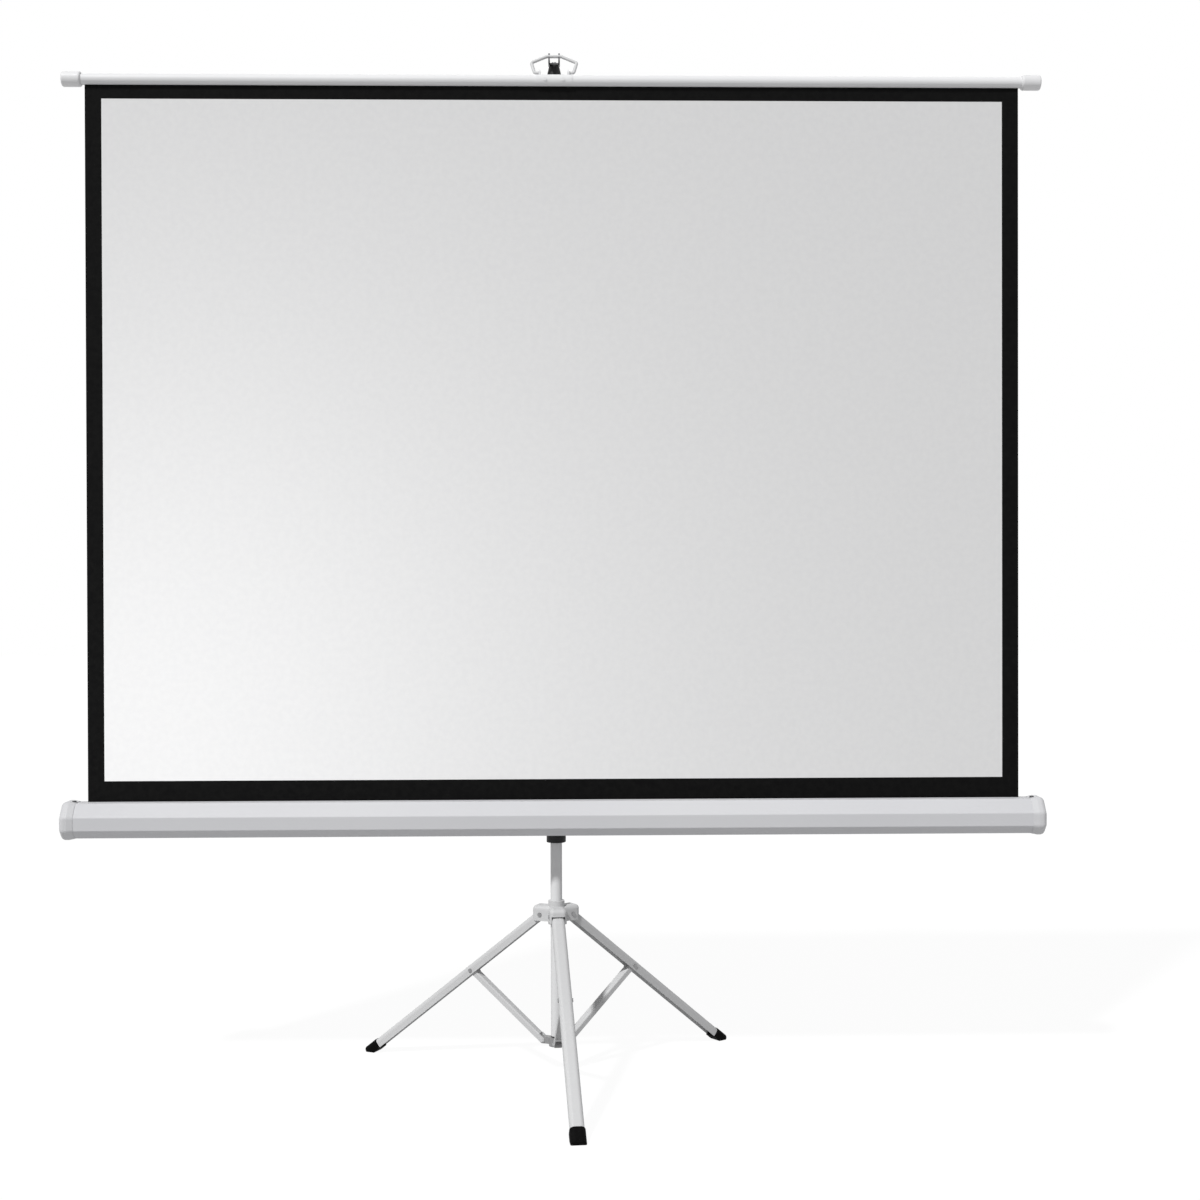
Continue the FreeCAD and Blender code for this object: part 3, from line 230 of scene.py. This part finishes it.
bar_plastic = moulding("bar_plastic", dark=(0.78, 0.78, 0.787), light=(0.81, 0.81, 0.815),
                       smooth=0.4, rough=0.5, grain=1300.0, gloss=0.3)
black_plastic = moulding("black_plastic", dark=(0.010, 0.010, 0.011), light=(0.018, 0.018, 0.019),
                         smooth=0.45, rough=0.58, grain=1500.0, gloss=0.2)
boot_rubber = moulding("boot_rubber", dark=(0.0015, 0.0015, 0.0015), light=(0.0035, 0.0035, 0.0035),
                       smooth=0.64, rough=0.8, grain=900.0, gloss=0.05)
turned_steel = drawn_steel("turned_steel", dark=(0.5, 0.5, 0.51), light=(0.64, 0.64, 0.65),
                           stretch=(1, 1, 14))
dark_steel = drawn_steel("dark_steel", dark=(0.06, 0.06, 0.064), light=(0.11, 0.11, 0.115),
                         stretch=(1, 1, 8))
hook_steel = drawn_steel("hook_steel", dark=(0.13, 0.13, 0.135), light=(0.20, 0.20, 0.205),
                         stretch=(1, 1, 6))
pin_steel = drawn_steel("pin_steel", dark=(0.24, 0.24, 0.245), light=(0.34, 0.34, 0.345),
                        stretch=(1, 1, 6))
# collar grey set between its light lugs and its shaded core: partly the collar's own colour, partly
# painted shade
collar_grey_and_painted_shade = moulding("collar_grey_and_painted_shade", dark=(0.25, 0.25, 0.252), light=(0.31, 0.31, 0.313),
                     smooth=0.42, rough=0.55, grain=800.0, gloss=0.4)
white_vinyl = screen_vinyl("white_vinyl", dark=(0.69, 0.69, 0.692), light=(0.71, 0.71, 0.71),
                           smooth=0.8, rough=0.92, gloss=0.2)
black_vinyl = screen_vinyl("black_vinyl", dark=(0.0025, 0.0025, 0.0026),
                           light=(0.0045, 0.0045, 0.0044), smooth=0.64, rough=0.76, gloss=0.06)
black_backing = screen_vinyl("black_backing", dark=(0.012, 0.012, 0.013), light=(0.02, 0.02, 0.021),
                             smooth=0.7, rough=0.84, gloss=0.2)

finish_of = {
    case_enamel: ["case_shell"],
    bar_enamel: ["top_bar", "bail_bracket", "bracket_rivets"],
    wire_enamel: ["bail"],
    tube_enamel: ["column_tube", "mast_tube", "pole_tube"],
    leg_enamel: ["leg_hub", "leg_front", "leg_rear_left", "leg_rear_right",
                 "brace_front", "brace_rear_left", "brace_rear_right"],
    cap_plastic: ["end_cap_left", "end_cap_right"],
    bar_plastic: ["bar_cap_left", "bar_cap_right"],
    black_plastic: ["column_top_bush", "column_end_bush", "column_knob", "mast_guide", "pole_guide",
                    "pole_plug", "lock_housing", "release_ring", "mast_clamp", "idle_plug",
                    "spring_plug", "spring_anchor", "bar_spline"],
    boot_rubber: ["foot_front", "foot_rear_left", "foot_rear_right"],
    turned_steel: ["hub_screw", "collar_pins", "spreader_rod", "rod_screw", "swivel_plate",
                   "swivel_bolt", "swivel_washer", "roller_tube", "idle_pin", "spring_arbor",
                   "hook_screw", "plate_screws", "clamp_screws"],
    hook_steel: ["hook_bracket"],
    dark_steel: ["end_cap_screws"],
    pin_steel: ["leg_pivot_pins", "brace_rivet_front", "brace_rivet_rear_left",
                "brace_rivet_rear_right"],
    # spread collar in a grey that is partly painted shade
    collar_grey_and_painted_shade: ["spread_collar"],
}
for finish, names in finish_of.items():
    for name in names:
        nodes[name].data.materials.clear()
        nodes[name].data.materials.append(finish)


# Modelling helpers
def deselect_all():
    if bpy.context.mode != "OBJECT":
        bpy.ops.object.mode_set(mode="OBJECT")
    bpy.ops.object.select_all(action="DESELECT")


def pick(piece):
    deselect_all()
    piece.select_set(True)
    bpy.context.view_layer.objects.active = piece


def settle(piece):
    # place, turn and size go into the mesh
    pick(piece)
    bpy.ops.object.transform_apply(location=True, rotation=True, scale=True)


def apply_modifiers(piece):
    pick(piece)
    for name in [modifier.name for modifier in piece.modifiers]:
        bpy.ops.object.modifier_apply(modifier=name)


def thicken(piece, thickness):
    wall = piece.modifiers.new("cloth_thickness", "SOLIDIFY")
    wall.thickness = thickness
    wall.offset = 0.0
    apply_modifiers(piece)


def outward(piece):
    pick(piece)
    bpy.ops.object.mode_set(mode="EDIT")
    bpy.ops.mesh.select_all(action="SELECT")
    bpy.ops.mesh.remove_doubles(threshold=MERGE_DISTANCE)
    bpy.ops.mesh.normals_make_consistent(inside=False)
    bpy.ops.object.mode_set(mode="OBJECT")


# Screen cloth: a white field with a black border, black behind
def upright_cut(x):
    return (x, 0, 0), (1, 0, 0)


def level_cut(z):
    return (0, 0, z), (0, 0, 1)


def cut_cloth():
    # the border's edges come first, then a grid that keeps the faces small
    cuts = [upright_cut(-WHITE_HALF_WIDTH), upright_cut(WHITE_HALF_WIDTH)]
    cuts += [level_cut(WHITE_BOTTOM), level_cut(WHITE_TOP)]
    for strip in range(-STRIPS_EACH_SIDE, STRIPS_EACH_SIDE + 1):
        cuts.append(upright_cut(strip * STRIP_WIDTH))
    for row in range(1, WHITE_ROWS):
        cuts.append(level_cut(WHITE_BOTTOM + row * (WHITE_TOP - WHITE_BOTTOM) / WHITE_ROWS))
    bpy.ops.object.mode_set(mode="EDIT")
    for place, normal in cuts:
        bpy.ops.mesh.select_all(action="SELECT")
        bpy.ops.mesh.bisect(plane_co=place, plane_no=normal)
    bpy.ops.object.mode_set(mode="OBJECT")


def make_cloth():
    deselect_all()
    middle = (cloth_low + cloth_high) / 2
    bpy.ops.mesh.primitive_plane_add(size=1.0, location=middle, rotation=(QUARTER_TURN, 0, 0))
    cloth = bpy.context.active_object
    cloth.name = "screen_cloth"
    cloth.scale = (cloth_high.x - cloth_low.x, cloth_high.z - cloth_low.z, 1)
    settle(cloth)
    cut_cloth()
    for finish in (white_vinyl, black_vinyl, black_backing):
        cloth.data.materials.append(finish)
    for face in cloth.data.polygons:
        inside = abs(face.center.x) < WHITE_HALF_WIDTH and WHITE_BOTTOM < face.center.z < WHITE_TOP
        face.material_index = WHITE_FACE if inside else BLACK_EDGE
    thicken(cloth, cloth_high.y - cloth_low.y)
    for face in cloth.data.polygons:
        if face.normal.y > FACING:
            face.material_index = BLACK_BACK
        elif abs(face.normal.y) < FACING:
            face.material_index = BLACK_EDGE
    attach(cloth, "mast")
    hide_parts("screen_fabric")
    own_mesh(cloth)


# Turns of cloth left on the roller
def make_cloth_turns():
    deselect_all()
    inner = (roller_high.z - roller_low.z) / 2
    outer = (wrap_high.z - wrap_low.z) / 2
    pitch = (outer - inner) / (CLOTH_LAYERS + 1)
    middle = (wrap_low + wrap_high) / 2
    length = wrap_high.x - wrap_low.x
    bpy.ops.mesh.primitive_grid_add(x_subdivisions=STRIPS_ALONG_ROLLER,
                                    y_subdivisions=STEPS_PER_LAYER * CLOTH_LAYERS, size=1.0)
    turns = bpy.context.active_object
    turns.name = "cloth_turns"
    for point in turns.data.vertices:
        run = CLOTH_LAYERS * (point.co.y + 0.5)
        angle = 2 * math.pi * run
        reach = inner + pitch * (FIRST_LAYER_HEIGHT + run)
        point.co = (middle.x + point.co.x * length,
                    middle.y + reach * math.cos(angle),
                    middle.z + reach * math.sin(angle))
    thicken(turns, pitch * LAYER_THICKNESS)
    outward(turns)
    bpy.ops.object.shade_smooth_by_angle(angle=CLOTH_SMOOTHING)
    turns.data.materials.append(black_backing)
    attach(turns, "roller")
    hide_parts("fabric_wrap")


# Wire springs: one under the release ring, one round the arbor in the roller
def wind_coil(name, wire, radius, turns, steps, sides, length, axis):
    deselect_all()
    if axis == "X":
        turn, place = (0, 0, 0), (0, radius, 0)
    else:
        turn, place = (QUARTER_TURN, 0, 0), (radius, 0, 0)
    bpy.ops.mesh.primitive_circle_add(vertices=sides, radius=wire, rotation=turn, location=place)
    coil = bpy.context.active_object
    coil.name = name
    settle(coil)
    winding = coil.modifiers.new("winding", "SCREW")
    winding.axis = axis
    winding.steps = steps
    winding.render_steps = steps
    winding.iterations = turns
    winding.screw_offset = (length - 2 * wire) / turns
    winding.use_merge_vertices = False
    apply_modifiers(coil)
    # both ends of the wire are closed
    bpy.ops.object.mode_set(mode="EDIT")
    bpy.ops.mesh.select_all(action="DESELECT")
    bpy.ops.mesh.select_non_manifold(extend=False)
    bpy.ops.mesh.fill_holes(sides=sides)
    bpy.ops.object.mode_set(mode="OBJECT")
    return coil


def set_coil(coil, shift):
    coil.data.transform(Matrix.Translation(shift))
    outward(coil)
    bpy.ops.object.shade_smooth_by_angle(angle=WIRE_SMOOTHING)
    coil.data.materials.append(turned_steel)
    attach(coil, "mast")


def make_release_spring():
    wire = RELEASE_WIRE_RADIUS
    height = spring_high.z - spring_low.z
    middle = (spring_low + spring_high) / 2
    radius = (spring_high.x - spring_low.x) / 2 - RELEASE_WIRE_INSET
    coil = wind_coil("release_coil", wire, radius, turns=RELEASE_TURNS, steps=36, sides=10,
                     length=height, axis="Z")
    set_coil(coil, (middle.x, middle.y, spring_low.z + wire))
    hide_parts("release_spring")
    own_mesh(coil)


def make_roller_spring():
    wire = ROLLER_WIRE_RADIUS
    length = winding_high.x - winding_low.x
    middle = (winding_low + winding_high) / 2
    radius = (winding_high.z - winding_low.z) / 2 - wire
    coil = wind_coil("roller_coil", wire, radius, turns=int(length / ROLLER_WIRE_PITCH), steps=18,
                     sides=8, length=length, axis="X")
    set_coil(coil, (winding_low.x + wire, middle.y, middle.z))
    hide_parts("roller_spring")


# Camera at the photograph's place
def make_camera():
    data = bpy.data.cameras.new("view_camera")
    camera = bpy.data.objects.new("view_camera", data)
    bpy.context.scene.collection.objects.link(camera)
    data.sensor_width = SENSOR_WIDTH
    data.lens = LENS
    yaw = Matrix.Rotation(math.radians(CAMERA_YAW), 3, "Z")
    pitch = Matrix.Rotation(math.radians(CAMERA_PITCH), 3, "X")
    roll = Matrix.Rotation(math.radians(CAMERA_ROLL), 3, "Y")
    turn = yaw @ pitch @ roll
    right, ahead, up = turn.col
    axes = Matrix((right, up, -ahead)).transposed()
    place = Vector((CAMERA_SIDE, cloth_low.y - CAMERA_REACH, CAMERA_HEIGHT))
    camera.matrix_world = Matrix.Translation(place) @ axes.to_4x4()
    bpy.context.scene.camera = camera


# White studio
def background_rays(tree):
    # 1 for the rays that see the background, 0 for those that light the screen
    rays = add_node(tree, "ShaderNodeLightPath")
    seen = add_node(tree, "ShaderNodeMath", operation="MAXIMUM")
    tree.links.new(rays.outputs["Is Camera Ray"], seen.inputs[0])
    tree.links.new(rays.outputs["Is Glossy Ray"], seen.inputs[1])
    shown = add_node(tree, "ShaderNodeMath", operation="MAXIMUM")
    tree.links.new(seen.outputs[0], shown.inputs[0])
    tree.links.new(rays.outputs["Is Transmission Ray"], shown.inputs[1])
    return shown.outputs[0]


def make_floor():
    deselect_all()
    bpy.ops.mesh.primitive_plane_add(size=FLOOR_SIZE, location=(0, 0, 0))
    floor = bpy.context.active_object
    floor.name = "studio_floor"
    paper = bpy.data.materials.new("studio_paper")
    paper.use_nodes = True
    tree = paper.node_tree
    tree.nodes.clear()
    output = add_node(tree, "ShaderNodeOutputMaterial")
    matt = add_node(tree, "ShaderNodeBsdfDiffuse")
    matt.inputs["Color"].default_value = FLOOR_GREY
    glow = add_node(tree, "ShaderNodeEmission")
    glow.inputs["Strength"].default_value = FLOOR_GLOW
    share = add_node(tree, "ShaderNodeMath", operation="MULTIPLY")
    share.inputs[1].default_value = FLOOR_GLOW_SHARE
    tree.links.new(background_rays(tree), share.inputs[0])
    mix = add_node(tree, "ShaderNodeMixShader")
    tree.links.new(share.outputs[0], mix.inputs[0])
    tree.links.new(matt.outputs[0], mix.inputs[1])
    tree.links.new(glow.outputs[0], mix.inputs[2])
    tree.links.new(mix.outputs[0], output.inputs["Surface"])
    floor.data.materials.append(paper)


def make_world():
    world = bpy.data.worlds.new("studio_world")
    bpy.context.scene.world = world
    world.use_nodes = True
    tree = world.node_tree
    back = tree.nodes["Background"]
    level = add_node(tree, "ShaderNodeMix", data_type="RGBA")
    colours = [socket for socket in level.inputs if socket.type == "RGBA"]
    colours[0].default_value = AMBIENT_GREY
    colours[1].default_value = BACKGROUND_WHITE
    tree.links.new(background_rays(tree), level.inputs[0])
    result = [socket for socket in level.outputs if socket.type == "RGBA"][0]
    tree.links.new(result, back.inputs["Color"])


def add_lamp(name, kind, energy, comes_from):
    lamp = bpy.data.objects.new(name, bpy.data.lights.new(name, kind))
    lamp.data.energy = energy
    lamp.rotation_euler = Vector(comes_from).to_track_quat("Z", "Y").to_euler()
    bpy.context.scene.collection.objects.link(lamp)
    return lamp


def make_lamps():
    key = add_lamp("key_light", "SUN", KEY_STRENGTH, KEY_FROM)
    key.data.angle = KEY_SPREAD

    # a low lamp on the left that only the cloth takes
    low_lamp = add_lamp("low_lamp", "AREA", LOW_LAMP_POWER, LOW_LAMP_FROM)
    low_lamp.data.shape = "DISK"
    low_lamp.data.size = LOW_LAMP_SIZE
    low_lamp.location = (LOW_LAMP_SIDE, cloth_low.y - LOW_LAMP_REACH, LOW_LAMP_HEIGHT)
    low_lamp.visible_camera = False
    low_lamp.visible_glossy = False
    lit = bpy.data.collections.new("lit_by_low_lamp")
    lit.objects.link(bpy.data.objects["screen_cloth"])
    low_lamp.light_linking.receiver_collection = lit


make_cloth()
make_cloth_turns()
make_release_spring()
make_roller_spring()
make_camera()
make_floor()
make_world()
make_lamps()
bpy.context.scene.view_settings.view_transform = "Standard"
